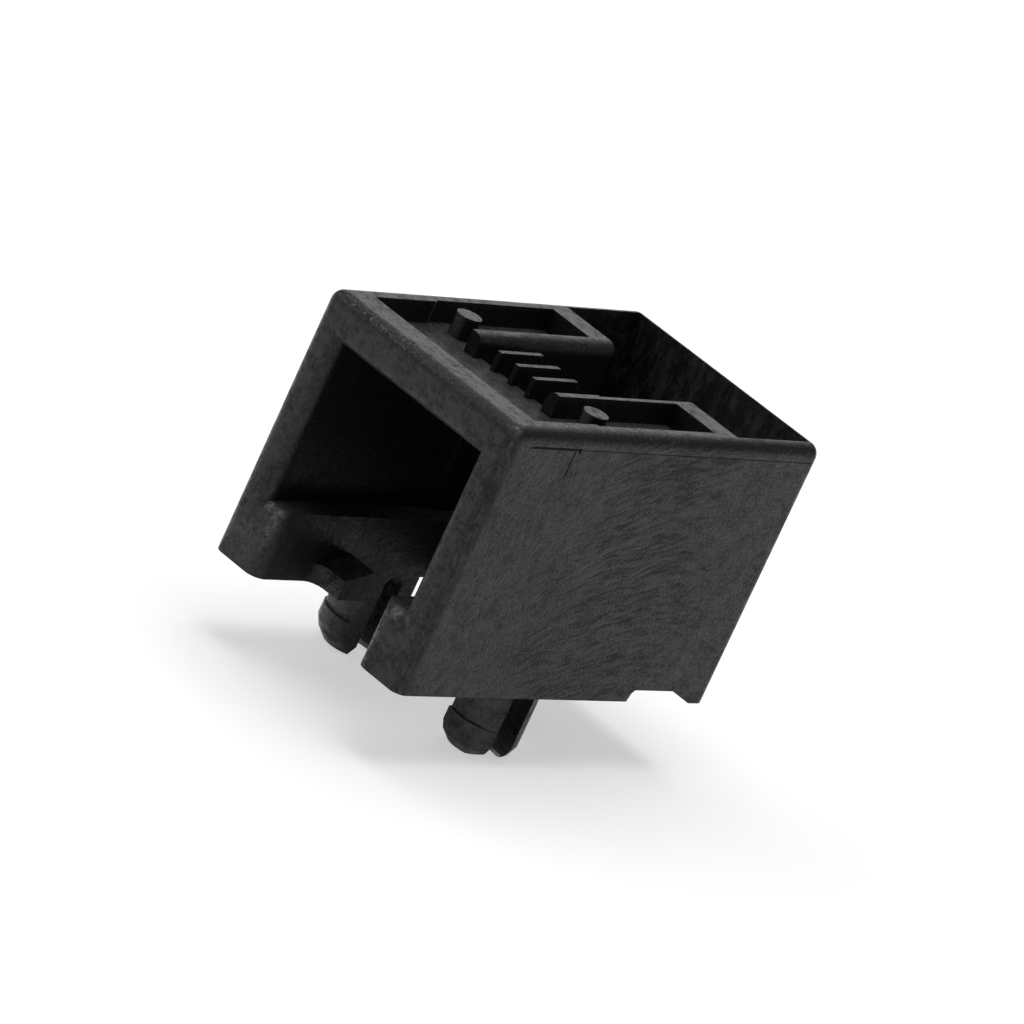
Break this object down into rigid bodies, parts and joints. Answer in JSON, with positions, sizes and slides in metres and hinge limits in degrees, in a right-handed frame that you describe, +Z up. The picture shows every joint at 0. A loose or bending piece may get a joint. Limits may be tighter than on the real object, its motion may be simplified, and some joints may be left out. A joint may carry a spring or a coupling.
{
  "type": "modular jack",
  "caption": "Black side-entry modular jack for a circuit board: moulded box with a plug opening, latch channel, open comb top, formed spring contacts and split board pegs.",
  "frame": {"origin": "on the board plane, midway between the two board pegs", "axes": "+Z up from the board, +Y the way the plug goes in, so the plug opening faces -Y, +X to the right seen from the plug"},
  "size_m": [0.0112, 0.0183, 0.0148],
  "materials": {
    "housing": "fine satin, moulded",
    "contact": "gold plated wire"
  },
  "bodies": {
    "root": {"housing": "housing", "contact_1": "contact", "contact_2": "contact", "contact_3": "contact", "contact_4": "contact"}
  },
  "joints": []
}
